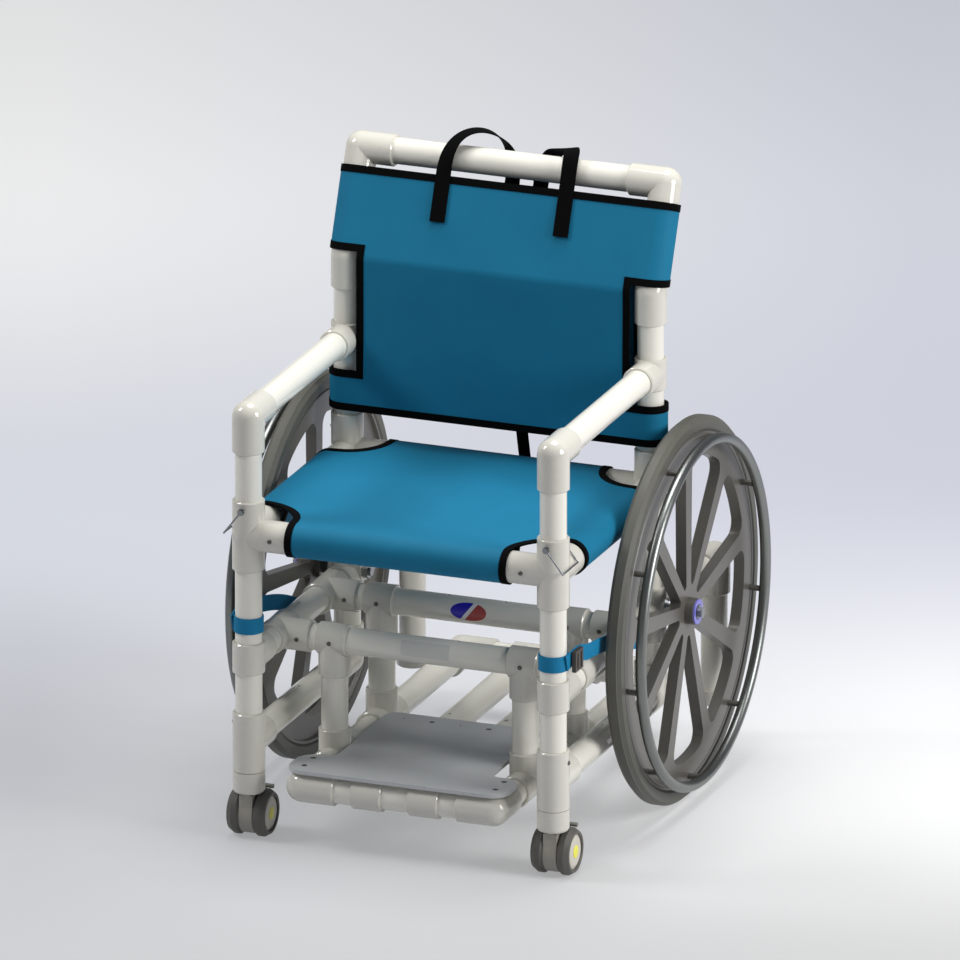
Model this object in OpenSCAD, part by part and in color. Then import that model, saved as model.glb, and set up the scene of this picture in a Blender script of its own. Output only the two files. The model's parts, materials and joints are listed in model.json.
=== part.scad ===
// Pool access chair: a glued plastic pipe frame with sling seat and back, two large moulded
// wheels, two twin-wheel casters and a footrest that slides in four slip tees.
// Millimetres. +X is to the sitter's left, -Y is forward, +Z is up, and the floor is z = 0.

/* [Pipe and fittings] */
// Outside diameter of every frame pipe
pipe_od = 42.2; // [38:0.1:45]
// Wall of every frame pipe
pipe_wall = 3.6; // [2.8:0.1:5]
// Wall of every moulded fitting
fitting_wall = 4.2; // [3.4:0.1:5]
// Radial gap between a pipe and its glued socket
socket_gap = 0.1; // [0.05:0.05:0.2]
// Radial gap between a footrest rail and its slip tee
slide_gap = 0.4; // [0.2:0.05:0.6]
// Depth of a glued socket
socket_depth = 28; // [22:1:30]
// Leg of an elbow or tee, from its centre to its end
leg = 57; // [54:1:62]
// Half of the run of a short tee
short_run = 25; // [22:1:28]
// Chamfer at the end of every fitting
lip = 1.6; // [0.6:0.1:2.4]

/* [Frame] */
// Distance between the left and right posts, centre to centre
post_span = 503; // [470:1:560]
// Distance between the front and rear posts, centre to centre
post_depth = 420; // [390:1:450]
// Height of the seat rails
seat_h = 495; // [480:1:520]
// Height of the arm pipes above the seat rails
arm_h = 191; // [180:1:205]
// Height of the rails at axle level
mid_h = 295; // [288:1:300]
// Height of the low side rails
low_h = 158; // [150:1:166]
// Half of the run of the low tee on the front post
low_run = 48; // [42:1:52]
// Front cross bar, measured back from the front posts
cross_front = 125; // [118:1:140]
// Rear cross bar, measured forward from the rear posts
cross_rear = 93; // [85:1:120]
// Half of the run of the tee that joins a cross bar to a rail
rail_run = 40; // [34:1:44]
// Leg of a seat corner along the seat rails
corner_leg = 74; // [70:1:80]
// Upper leg of a rear seat corner
corner_rise = 68; // [62:1:74]
// Leg of the fitting that holds the axle
axle_leg = 44; // [43:1:46]
// Tip legs, measured back from the rear posts
tip_reach = 280; // [230:1:320]
// Clearance between a tip leg's cap and the floor
tip_clear = 57; // [40:1:80]
// Height of a tip leg's cap
tip_cap_h = 24; // [18:1:32]
// Diameter of a drain hole
drain_d = 6; // [4:0.5:8]

/* [Backrest] */
// Height of the bend in the rear posts above the arm pipes
bend_h = 131; // [114:1:154]
// Recline above the bend, in degrees
recline = 22.5; // [18:0.5:26]
// Leg of the bend fitting
bend_leg = 50; // [48:1:56]
// Push bar, measured along the recline from the bend
push_rise = 170; // [162:1:190]

/* [Large wheels] */
// Outside diameter of the tyre
wheel_d = 609.6; // [600:0.1:616]
// Width of the tyre
tyre_w = 26; // [24:0.5:30]
// Depth of the tyre from tread to rim
tyre_depth = 22.8; // [18:0.1:26]
// Middle of the hub, measured out from the post
wheel_out = 58.5; // [57:0.5:64]
// Number of spokes
spoke_count = 9; // [7:1:10]
// Width of a spoke at the hub
spoke_w = 18; // [14:0.5:20]
// Taper of a spoke's side, in degrees
spoke_taper = 1.2; // [0.8:0.1:2.2]
// Thickness of the spokes and the rim's web
spoke_t = 17.5; // [14:0.5:20]
// Outer radius of the windows between the spokes
window_r = 243; // [225:1:246]
// Corner radius of a window
window_corner = 20; // [14:1:26]
// Plane of the tyre, measured in from the hub's middle
tyre_in = 6; // [3:0.5:8]
// Plane of the spokes, measured in from the hub's middle
spoke_in = 3.5; // [2:0.5:5]
// Diameter of the hub
hub_d = 42; // [40:1:48]
// Length of the hub
hub_len = 38; // [36:0.5:42]
// Radius of the push rim, to the middle of its tube
pushrim_r = 272.5; // [268:0.5:275]
// Diameter of the push rim's tube
pushrim_tube = 17; // [15:0.5:19]
// Push rim plane, measured out from the hub's middle
pushrim_out = 29.5; // [27:0.5:34]
// Diameter of a push rim post
pushrim_post = 9; // [7:0.5:10]
// Diameter of the wheel axle
axle_d = 16; // [12:0.5:17]
// Thickness of the axle nut
nut_t = 10; // [8:0.5:13]
// Length of the axle bolt beyond its nut
bolt_end = 4; // [2:0.5:8]
// Thickness of the axle bolt's head with its collar
head_t = 10; // [8:0.5:13]
// Thickness of the collar under the axle bolt's head
bolt_collar = 3; // [2:0.5:5]
// Radial running clearance of the axle in its bearings
axle_gap = 0.05; // [0.03:0.01:0.08]
// Outside diameter of a wheel bearing
bearing_d = 32; // [28:0.5:34]
// Width of a wheel bearing
bearing_w = 9; // [7:0.5:11]

/* [Casters] */
// Diameter of a caster wheel
caster_d = 75; // [70:0.5:76]
// Width of one of the two wheels of a caster
caster_wheel_w = 20; // [16:0.5:21]
// Width of the body between the two wheels
caster_body_w = 22; // [20:0.5:24]
// Caster wheel centre, measured back from the swivel axis
caster_trail = 16; // [14:0.5:18]
// Height of the underside of the caster cup
cup_h = 76.5; // [76.3:0.1:80]
// Diameter of the swivel stem
stem_d = 11; // [9:0.5:13]
// Diameter of the caster axle
caster_axle_d = 8; // [6:0.5:9]

/* [Footrest] */
// Height of the footrest rails
foot_h = 99; // [95:1:103]
// How much closer together the side rails stand than the posts
rail_span = 187; // [177:1:197]
// Distance between the two middle rails
mid_span = 94; // [84:1:120]
// Front bar of the footrest, in front of the front posts
foot_front = 11; // [5:1:16]
// Rear bar of the footrest, behind the front posts
foot_rear = 672; // [640:1:690]
// Half of the run of a slip tee
slip_run = 50; // [44:1:54]
// Upper leg of a slip tee
slip_leg = 52; // [51:1:56]
// Thickness of the footplate
plate_t = 6; // [4:0.5:8]
// How far the footplate reaches past the side rails
plate_over = 24; // [20:1:28]
// Footplate's front edge, in front of the front posts
plate_front = 32; // [26:1:40]
// Footplate's shoulder, behind the front posts
plate_shoulder = 50; // [44:1:54]
// Footplate's rear edge, behind the front posts
plate_rear = 280; // [272:1:300]
// Corner radius of the footplate's wide part
plate_corner = 30; // [20:1:34]
// Diameter of a footplate screw's head
plate_screw_d = 9; // [7:0.5:10]

/* [Slings and straps] */
// Outer radius of a sleeve round a rail
sleeve_r = 27.5; // [27.2:0.1:29]
// Thickness of the sling cloth
cloth_t = 1.8; // [1.2:0.1:1.9]
// Radius of the seat's cut-out round each post
cutout_r = 66; // [62:1:68]
// Bottom edge of the back sling above the seat rails
back_low = 79; // [73:1:95]
// Height of the band that joins the back sling to the posts below
back_band = 62; // [46:1:68]
// Top edge of the back sling, measured along the recline from the bend
back_top = 138; // [120:1:139]
// Gap between the back panel's edge and the post's axis at the side notches
notch_in = 26.5; // [25:0.5:32]
// Width of the black webbing
webbing_w = 24.5; // [18:0.5:30]
// Thickness of the webbing
webbing_t = 2; // [1.4:0.1:2.4]
// Front foot of a carry handle, measured out from the middle
handle_out = 102; // [80:1:130]
// Length of a handle that is sewn to the front of the back sling
handle_sewn = 72; // [50:1:90]
// Length of a handle that is sewn to the rear of the back sling
handle_sewn_rear = 60; // [40:1:90]
// Rear foot of the left handle, measured out from the middle
handle_in_left = 9; // [2:1:50]
// Rear foot of the right handle, measured out from the middle
handle_in_right = 38; // [30:1:70]
// Height of the left handle's arch above the sling's top edge
handle_rise_left = 83; // [70:1:95]
// Height of the right handle's arch above the sling's top edge
handle_rise_right = 71; // [68:1:85]
// Extra depth of a handle's arch, so that it clears the push bar
handle_swell = 8; // [5:0.5:14]
// Twist of the left handle at its top, in degrees
handle_twist_left = 50; // [10:1:60]
// Twist of the right handle at its top, in degrees
handle_twist_right = 10; // [0:1:40]
// Height of the post straps above the rails at axle level
strap_h = 55; // [43:0.5:77]
// Width of the post straps
strap_w = 25; // [19:0.5:25.5]
// Reach of a strap's loose end behind the post
tail_len = 300; // [200:1:330]
// How far the right strap's loose end hangs down at its tip
tail_drop = 62; // [40:1:80]
// How far the left strap's loose end hangs down at its tip
tail_drop_left = 75; // [40:1:95]

/* [Hidden] */
$fn = 72;

// Radii that the pipe sizes give
pipe_r = pipe_od / 2;
bore_r = pipe_r - pipe_wall;
sock_r = pipe_r + socket_gap;
fit_r = sock_r + fitting_wall;
slip_r = pipe_r + slide_gap;
slip_or = slip_r + fitting_wall;
branch_inset = 0.15;
stop_in = leg - socket_depth;
eps = 0.01;

// Places in the frame; "side" is -1 on the image left and 1 on the image right
post_x = post_span / 2;
rail_x = (post_span - rail_span) / 2;
mid_x = mid_span / 2;
front_y = -(post_depth + tip_reach - foot_front) / 2;
back_y = front_y + post_depth;
tip_y = back_y + tip_reach;
post_ys = [front_y, back_y];
bar_ys = [front_y + cross_front, back_y - cross_rear];
foot_ys = [front_y - foot_front, front_y + foot_rear];
middle_y = (front_y + back_y) / 2;
arm_z = seat_h + arm_h;
bend_z = arm_z + bend_h;
sling_z = seat_h + back_low;
strap_z = mid_h + strap_h;
rise_dir = [0, sin(recline), cos(recline)];
push_at = [0, back_y, bend_z] + push_rise * rise_dir;
sides = [-1, 1];
back = [0, 1, 0];
fore = [0, -1, 0];
up = [0, 0, 1];
down = [0, 0, -1];

// Wheels
axle_z = wheel_d / 2;
wheel_x = post_x + wheel_out;
rim_r = axle_z - tyre_depth;
boss_r = axle_d / 2 + 7;
boss_out = 2;
sleeve_wall = 3;
run_gap = 0.4;
hub_in = wheel_x - hub_len / 2;
hub_end = wheel_x + hub_len / 2;
axle_socket = axle_leg - axle_d / 2 - sleeve_wall - abs(axle_z - mid_h) - 1;
tip_floor = 4;
stem_h = 40;
cap_t = 2.5;
post_r = pushrim_r - 2;
post_sink = 1.6;
spoke_faces = [-spoke_t / 2 - spoke_in, spoke_t / 2 - spoke_in];
split_r = window_r - window_corner - 8;

// Casters
caster_r = caster_d / 2;
caster_tyre_t = 10;
disc_r = caster_r - caster_tyre_t;
body_r = caster_r - 3.5;
wheel_gap = 0.6;
bore_reach = 60;
pedal_pivot = [caster_trail + 22, caster_r + 20.5];
pedal_bar = [caster_trail + 32, caster_r + 32.5];
pedal_r = 3.5;
pedal_pin_r = 2;
pedal_half = 22;
ear_half = 6.5;
cheek_gap = 0.4;

// Footrest
plate_z = foot_h + fit_r;
plate_half = rail_x + plate_over;
neck_half = rail_x - slip_or - 4.5;
neck_corner = 20;
fillet_r = 16;
plate_ys = [front_y - plate_front, front_y + plate_shoulder, front_y + plate_rear];
front_screw_ys = [foot_ys[0] + 6, foot_ys[0] + 44];
rear_screw_y = plate_ys[2] - 25;
shank_r = 2.4;
spacer_r = 7;

// Slings
sleeve_in = sleeve_r - cloth_t;
notch_low = sling_z + back_band;
seam = 6;
thin = 0.15;
lay = 0.3;
strap_in = pipe_r + lay;
tail_bow = 5;
tail_start = 8;
tail_rise = 6;
buckle_t = 6.5;
buckle_lift = 3.2;
pin_z = seat_h + leg - 12;
pin_r = 3;
bail_y = fit_r + 7;
bail_reach = 46;
bail_turn = asin((fit_r + 2) / (pin_z - seat_h));
wire_r = 1.3;

// Turns +Z to the direction v
function aim(v) = [0, acos(v[2] / norm(v)), atan2(v[1], v[0])];

module both_sides() {
    for (side = sides)
        scale([side, 1, 1]) children();
}

// A straight pipe from a to b
module pipe(a, b) {
    translate(a)
        rotate(aim(b - a))
            difference() {
                cylinder(h = norm(b - a), r = pipe_r);
                translate([0, 0, -1]) cylinder(h = norm(b - a) + 2, r = bore_r);
            }
}

// A pipe's stretch between two fitting centres, each with its own distance to the pipe's end
module span(a, b, from_a, from_b) {
    v = (b - a) / norm(b - a);
    pipe(a + from_a * v, b - from_b * v);
}

module leg_body(long, r) {
    cylinder(h = long - lip, r = r);
    translate([0, 0, long - lip - eps]) cylinder(h = lip + eps, r1 = r, r2 = r - lip);
}

module leg_hollow(long, depth, r) {
    translate([0, 0, -1]) cylinder(h = long + 2, r = r);
    translate([0, 0, long - depth - 0.5]) cylinder(h = depth + 2, r = sock_r);
}

// A glued fitting with a socket in every leg; legs are [direction, length]
module fitting(at, legs, ball = false, depth = socket_depth) {
    translate(at)
        difference() {
            union() {
                for (i = [0 : len(legs) - 1])
                    rotate(aim(legs[i][0]))
                        leg_body(legs[i][1], fit_r - (i > 1 ? branch_inset * (i - 1) : 0));
                if (ball) sphere(r = fit_r);
            }
            for (i = [0 : len(legs) - 1])
                rotate(aim(legs[i][0])) leg_hollow(legs[i][1], depth, bore_r - branch_inset * i);
        }
}

module elbow(at, one, other, long = leg) {
    fitting(at, [[one, long], [other, long]], ball = true);
}

// A tee whose run lets a pipe pass through; its branch is a socket
module through_tee(at, run, half, branch, long, hole_r = sock_r) {
    wall_r = hole_r + fitting_wall;
    translate(at)
        difference() {
            union() {
                for (end = sides)
                    rotate(aim(end * run)) leg_body(half, wall_r);
                rotate(aim(branch)) leg_body(long, fit_r - branch_inset);
            }
            rotate(aim(run)) translate([0, 0, -half - 1]) cylinder(h = 2 * half + 2, r = hole_r);
            rotate(aim(branch)) {
                cylinder(h = long + 1, r = bore_r);
                translate([0, 0, long - socket_depth - 0.5]) cylinder(h = socket_depth + 2, r = sock_r);
            }
        }
}

module drain(at) {
    translate(at) cylinder(h = pipe_od, d = drain_d);
}

// Frame pipes
module front_post_pipes() {
    color("#f2efe8") both_sides()
        span([post_x, front_y, low_h], [post_x, front_y, seat_h], low_run - socket_depth, stop_in);
}

module rear_post_pipes() {
    foot = [post_x, back_y, low_h];
    axle = [post_x, back_y, mid_h];
    seat = [post_x, back_y, seat_h];
    bend = [post_x, back_y, bend_z];
    color("#f2efe8") both_sides() {
        span(foot, axle, stop_in, axle_leg - axle_socket);
        span(axle, seat, axle_leg - axle_socket, stop_in);
        span(seat, bend, corner_rise - socket_depth, bend_leg - socket_depth);
        span(bend, bend + push_rise * rise_dir, bend_leg - socket_depth, stop_in);
    }
}

module arm_pipes() {
    corner = [post_x, front_y, arm_z];
    color("#f2efe8") both_sides() {
        span(corner, [post_x, back_y, arm_z], stop_in, stop_in);
        difference() {
            span([post_x, front_y, seat_h], corner, stop_in, stop_in);
            pin_hole();
        }
    }
}

module seat_rails() {
    inset = corner_leg - socket_depth;
    color("#f2efe8") {
        for (y = post_ys)
            span([-post_x, y, seat_h], [post_x, y, seat_h], inset, inset);
        both_sides()
            span([post_x, front_y, seat_h], [post_x, back_y, seat_h], inset, inset);
    }
}

module mid_rails() {
    front = [post_x, front_y, mid_h];
    axle = [post_x, back_y, mid_h];
    color("#f2efe8") both_sides() {
        difference() {
            span(front, axle, stop_in, axle_leg - axle_socket);
            drain([post_x, middle_y, mid_h]);
        }
        span(axle, [post_x, tip_y, mid_h], axle_leg - axle_socket, stop_in);
    }
}

module low_rails() {
    color("#f2efe8") both_sides()
        difference() {
            span([post_x, front_y, low_h], [post_x, back_y, low_h], stop_in, stop_in);
            drain([post_x, middle_y, low_h]);
        }
}

module cross_bars() {
    color("#f2efe8")
        for (y = bar_ys)
            difference() {
                span([-post_x, y, mid_h], [post_x, y, mid_h], stop_in, stop_in);
                for (x = [-mid_x, mid_x]) drain([x, y, mid_h]);
            }
}

module hanger_pipes() {
    color("#f2efe8") both_sides()
        for (y = bar_ys)
            span([rail_x, y, foot_h], [rail_x, y, mid_h], slip_leg - socket_depth, stop_in);
}

module tip_pipes() {
    color("#f2efe8") both_sides()
        span([post_x, tip_y, tip_clear], [post_x, tip_y, mid_h], tip_floor, stop_in);
}

module push_bar() {
    color("#f2efe8")
        span(push_at - [post_x, 0, 0], push_at + [post_x, 0, 0], stop_in, stop_in);
}

// Frame fittings
module arm_elbows() {
    color("#dedacf") both_sides() elbow([post_x, front_y, arm_z], down, back);
}

// Short tees: arms on the rear posts, rails on the front posts, hangers on the cross bars
module short_tees() {
    color("#dedacf") both_sides() {
        through_tee([post_x, back_y, arm_z], up, short_run, fore, leg);
        through_tee([post_x, front_y, mid_h], up, short_run, back, leg);
        for (y = bar_ys)
            through_tee([rail_x, y, mid_h], [1, 0, 0], short_run, down, leg);
    }
}

module pin_hole() {
    translate([post_x, front_y, pin_z])
        rotate([90, 0, 0]) cylinder(h = 4 * fit_r, r = pin_r + socket_gap, center = true);
}

module seat_corners() {
    color("#dedacf") both_sides() {
        difference() {
            seat_corner([post_x, front_y, seat_h], leg, back);
            pin_hole();
        }
        seat_corner([post_x, back_y, seat_h], corner_rise, fore);
    }
}

module seat_corner(at, rise, along) {
    translate(at)
        difference() {
            union() {
                rotate(aim(up)) leg_body(rise, fit_r);
                rotate(aim(down)) leg_body(leg, fit_r);
                rotate(aim([-1, 0, 0])) leg_body(corner_leg, fit_r - branch_inset);
                rotate(aim(along)) leg_body(corner_leg, fit_r - 2 * branch_inset);
            }
            rotate(aim(up)) leg_hollow(rise, socket_depth, bore_r);
            rotate(aim(down)) leg_hollow(leg, socket_depth, bore_r);
            rotate(aim([-1, 0, 0])) leg_hollow(corner_leg, socket_depth, bore_r - branch_inset);
            rotate(aim(along)) leg_hollow(corner_leg, socket_depth, bore_r - 2 * branch_inset);
        }
}

module rail_tees() {
    color("#dedacf") both_sides()
        for (y = bar_ys)
            through_tee([post_x, y, mid_h], back, rail_run, [-1, 0, 0], leg);
}

module slip_tees() {
    color("#dedacf") both_sides()
        for (y = bar_ys)
            through_tee([rail_x, y, foot_h], back, slip_run, up, slip_leg, slip_r);
}

module axle_crosses() {
    color("#dedacf") both_sides()
        difference() {
            union() {
                fitting([post_x, back_y, mid_h],
                    [[up, axle_leg], [down, axle_leg], [back, axle_leg], [fore, axle_leg]],
                    depth = axle_socket);
                difference() {
                    translate([post_x, back_y, axle_z])
                        rotate([0, 90, 0]) cylinder(h = 2 * (fit_r + boss_out), r = boss_r, center = true);
                    translate([post_x, back_y, mid_h])
                        cylinder(h = 4 * fit_r, r = sock_r + 0.5, center = true);
                }
            }
            translate([post_x, back_y, axle_z])
                rotate([0, 90, 0])
                    cylinder(h = 4 * fit_r, r = axle_d / 2 + sleeve_wall + socket_gap, center = true);
        }
}

module low_tees() {
    color("#dedacf") both_sides()
        fitting([post_x, front_y, low_h], [[up, low_run], [down, low_run], [back, leg]]);
}

// Elbows at the rear of the low rails and at the rear of the axle-level rails
module rail_elbows() {
    color("#dedacf") both_sides() {
        elbow([post_x, back_y, low_h], up, fore);
        elbow([post_x, tip_y, mid_h], down, fore);
    }
}

module tip_caps() {
    color("#dedacf") both_sides()
        translate([post_x, tip_y, tip_clear])
            difference() {
                union() {
                    cylinder(h = lip, r1 = fit_r - lip, r2 = fit_r);
                    translate([0, 0, lip - eps]) cylinder(h = tip_cap_h - lip, r = fit_r);
                }
                translate([0, 0, tip_floor - 0.5]) cylinder(h = tip_cap_h, r = sock_r);
            }
}

module bend_elbows() {
    color("#dedacf") both_sides()
        fitting([post_x, back_y, bend_z], [[down, bend_leg], [rise_dir, bend_leg]], ball = true);
}

module push_elbows() {
    color("#dedacf") both_sides()
        translate(push_at + [post_x, 0, 0])
            rotate([-recline, 0, 0]) elbow([0, 0, 0], down, [-1, 0, 0]);
}

module caster_cups() {
    top = low_h - low_run;
    color("#f2efe8") both_sides()
        translate([post_x, front_y, cup_h])
            difference() {
                union() {
                    cylinder(h = 2 * lip, r1 = fit_r - lip, r2 = fit_r);
                    translate([0, 0, 2 * lip - eps]) cylinder(h = top - cup_h - 2 * lip + eps, r = fit_r);
                    cylinder(h = top - cup_h + socket_depth - 2, r = pipe_r);
                }
                translate([0, 0, -1]) cylinder(h = stem_h + 3, d = stem_d + 2 * axle_gap);
            }
}

// Screws through the fittings; each head sits on the fitting's wall
module frame_screws() {
    color("#6b6a66") both_sides() {
        for (y = post_ys)
            screw([post_x - corner_leg * 0.6, y - (fit_r - branch_inset), seat_h], fore);
        for (y = bar_ys) {
            screw([post_x - leg * 0.7, y - (fit_r - branch_inset), mid_h], fore);
            screw([rail_x, y - fit_r, mid_h], fore);
        }
        screw([post_x + fit_r, front_y, low_h + low_run * 0.6], [1, 0, 0]);
        screw([post_x + fit_r, back_y, seat_h + corner_rise * 0.6], [1, 0, 0]);
    }
}

module screw(at, out) {
    translate(at - 0.15 * out)
        rotate(aim(out))
            difference() {
                union() {
                    cylinder(h = 1.2, r = 3.6);
                    translate([0, 0, 1.2 - eps]) cylinder(h = 1, r1 = 3.6, r2 = 2.2);
                }
                for (turn = [0, 90])
                    rotate([0, 0, turn]) translate([-2, -0.4, 1.4]) cube([4, 0.8, 2]);
            }
}

module axle_sleeves() {
    half = fit_r + boss_out;
    color("#b9bcc0") both_sides()
        translate([post_x - half, back_y, axle_z])
            rotate([0, 90, 0])
                difference() {
                    cylinder(h = 2 * half, r = axle_d / 2 + sleeve_wall);
                    translate([0, 0, -1]) cylinder(h = 2 * half + 2, r = axle_d / 2 + socket_gap);
                }
}

// Axle bolt with its head outside, a spacer beside the frame and a nut inside
module axle_bolts() {
    frame_in = post_x - fit_r - boss_out;
    frame_out = post_x + fit_r + boss_out;
    head_at = hub_end + run_gap;
    color("#8f9295") both_sides()
        translate([0, back_y, axle_z])
            rotate([0, 90, 0]) {
                translate([0, 0, frame_in - nut_t - bolt_end])
                    cylinder(h = head_at + bolt_end + nut_t - frame_in, d = axle_d);
                translate([0, 0, frame_in - nut_t]) cylinder(h = nut_t, r = boss_r - 2, $fn = 6);
                translate([0, 0, frame_out])
                    cylinder(h = hub_in - run_gap - frame_out, r1 = boss_r, r2 = boss_r - 3);
                translate([0, 0, head_at]) cylinder(h = bolt_collar, r = axle_d / 2 + 3);
                translate([0, 0, head_at + bolt_collar - eps])
                    cylinder(h = head_t - bolt_collar, r = axle_d / 2 + 1, $fn = 6);
            }
}

// Wheel parts are drawn about the axle with +Z pointing out of the chair
module at_wheel(side) {
    translate([side * wheel_x, back_y, axle_z]) rotate([90, 0, side * 90]) children();
}

module tyre_ring() {
    half = tyre_w / 2;
    soft = tyre_depth / 4;
    color("#4d4c48")
        translate([0, 0, -tyre_in]) rotate_extrude($fn = 144)
            polygon([[rim_r, -half + 3], [rim_r + 3, -half],
                [axle_z - soft, -half], [axle_z - 1.5, -half + soft],
                [axle_z, -half / 2], [axle_z, half / 2], [axle_z - 1.5, half - soft], [axle_z - soft, half],
                [rim_r + 3, half], [rim_r, half - 3]]);
}

// Rim: a flat band under the tyre with the outer ends of the spokes and the posts of the push rim
module rim_ring() {
    low = -tyre_in - tyre_w / 2 + 1;
    high = -tyre_in + tyre_w / 2 - 1;
    ridge = rim_r - 8;
    color("#5b5953") {
        difference() {
            rotate_extrude($fn = 144)
                polygon([[split_r, spoke_faces[0]], [ridge, spoke_faces[0]],
                    [ridge + 2, low], [rim_r - 2, low],
                    [rim_r, low + 2], [rim_r, high - 2], [rim_r - 2, high], [ridge + 2, high],
                    [ridge, spoke_faces[1]], [split_r, spoke_faces[1]]]);
            translate([0, 0, -hub_len]) linear_extrude(2 * hub_len) all_windows();
        }
        for (i = [0 : spoke_count - 1])
            rotate([0, 0, 90 + (i + 0.5) * 360 / spoke_count])
                translate([post_r, 0, spoke_faces[1] - 1])
                    cylinder(h = pushrim_out - pushrim_tube / 2 + post_sink - spoke_faces[1] + 1,
                        d = pushrim_post);
    }
}

// One window between two spokes, along +X, with round corners
module window_shape() {
    edge = 180 / spoke_count - spoke_taper;
    h = spoke_w / 2;
    tip_r = 6;
    tip = (h + tip_r) / sin(edge);
    corner_d = window_r - window_corner;
    turn = edge - asin((h + window_corner) / corner_d);
    c = corner_d * [cos(turn), sin(turn)];
    n = [-sin(edge), cos(edge)];
    foot = c + window_corner * n;
    tip_foot = [tip, 0] + tip_r * n;
    polygon([tip_foot, foot, c, [c[0], -c[1]], [foot[0], -foot[1]], [tip_foot[0], -tip_foot[1]]]);
    translate([tip, 0]) circle(r = tip_r);
    for (s = sides) translate([c[0], s * c[1]]) circle(r = window_corner);
    intersection() {
        circle(r = window_r, $fn = 144);
        polygon([c * 0.8, c * 1.5, [c[0], -c[1]] * 1.5, [c[0], -c[1]] * 0.8]);
    }
}

module all_windows() {
    for (i = [0 : spoke_count - 1])
        rotate(90 + (i + 0.5) * 360 / spoke_count) window_shape();
}

module spoke_star() {
    color("#5b5953")
        difference() {
            union() {
                translate([0, 0, spoke_faces[0]])
                    linear_extrude(spoke_t)
                        difference() {
                            circle(r = split_r, $fn = 144);
                            all_windows();
                        }
                translate([0, 0, -hub_len / 2]) cylinder(h = hub_len, d = hub_d);
            }
            for (s = sides)
                scale([1, 1, s]) translate([0, 0, hub_len / 2 - bearing_w])
                    cylinder(h = bearing_w + 1, d = bearing_d);
            translate([0, 0, -hub_len]) cylinder(h = 2 * hub_len, r = axle_d / 2 + 2);
        }
}

module push_ring() {
    color("#8b8f92")
        translate([0, 0, pushrim_out])
            rotate_extrude($fn = 144) translate([pushrim_r, 0]) circle(d = pushrim_tube, $fn = 32);
}

module hub_ring() {
    color("#8d90d8")
        translate([0, 0, hub_len / 2])
            difference() {
                cylinder(h = cap_t, r = hub_d / 2 - 1.5);
                translate([0, 0, -1]) cylinder(h = cap_t + 2, r = axle_d / 2 + 4);
            }
}

module bearing_pair() {
    color("#9fa2a6")
        for (s = sides)
            scale([1, 1, s]) translate([0, 0, hub_len / 2 - bearing_w])
                difference() {
                    cylinder(h = bearing_w, d = bearing_d - 2 * eps);
                    translate([0, 0, -1]) cylinder(h = bearing_w + 2, r = axle_d / 2 + axle_gap);
                }
}

// Caster parts are drawn about the swivel axis, with z = 0 at the floor
module at_caster(side) {
    translate([side * post_x, front_y, 0]) children();
}

// Turns an outline of Y and Z into a plate across X
module across(half) {
    rotate([90, 0, 90]) translate([0, 0, -half]) linear_extrude(2 * half) children();
}

module rod_across(at, long, r) {
    translate([0, at[0], at[1]]) rotate([0, 90, 0]) cylinder(h = long, r = r, center = true);
}

module caster_body() {
    c = [caster_trail, caster_r];
    neck = 15;
    color("#a39f93")
        difference() {
            union() {
                across(caster_body_w / 2) {
                    difference() {
                        translate(c) circle(r = body_r);
                        translate(pedal_pivot) circle(r = 13);
                    }
                    polygon([[-neck, cup_h - run_gap - 4], [-neck, caster_r],
                        [c[0], caster_r], [neck, cup_h - run_gap - 4]]);
                }
                across(ear_half) {
                    translate(pedal_pivot) circle(r = 5);
                    polygon([c, pedal_pivot + [3, -4], pedal_pivot + [-4, 3]]);
                }
                translate([0, 0, cup_h - run_gap - 4 - eps]) cylinder(h = 4, r = neck);
                cylinder_from(cup_h - 5, cup_h + stem_h, stem_d / 2);
            }
            rod_across(c, bore_reach, caster_axle_d / 2 + axle_gap);
            rod_across(pedal_pivot, bore_reach, pedal_pin_r + axle_gap);
        }
}

module cylinder_from(low, high, r) {
    translate([0, 0, low]) cylinder(h = high - low, r = r);
}

// Both wheels of a caster, outboard of the body
module caster_tyres() {
    inner = caster_body_w / 2 + wheel_gap;
    w = caster_wheel_w;
    color("#4b4b48")
        translate([0, caster_trail, caster_r])
            for (s = sides)
                rotate([0, s * 90, 0]) translate([0, 0, inner])
                    rotate_extrude()
                        polygon([[disc_r, 0], [caster_r - 4, 0], [caster_r, 4], [caster_r, w - 8],
                            [caster_r - 5, w], [disc_r + 1, w], [disc_r, w - 1]]);
}

module caster_discs() {
    inner = caster_body_w / 2 + wheel_gap;
    w = caster_wheel_w;
    color("#b5b0a3")
        translate([0, caster_trail, caster_r])
            rotate([0, 90, 0])
                rotate_extrude()
                    polygon([[0, -inner - w + 0.5], [disc_r - 6, -inner - w + 0.5],
                        [disc_r - eps, -inner - w + 3],
                        [disc_r - eps, -inner - 0.5], [disc_r - 3, -inner], [caster_axle_d / 2, -inner],
                        [caster_axle_d / 2, inner], [disc_r - 3, inner], [disc_r - eps, inner + 0.5],
                        [disc_r - eps, inner + w - 3], [disc_r - 6, inner + w - 0.5], [0, inner + w - 0.5]]);
}

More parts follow.
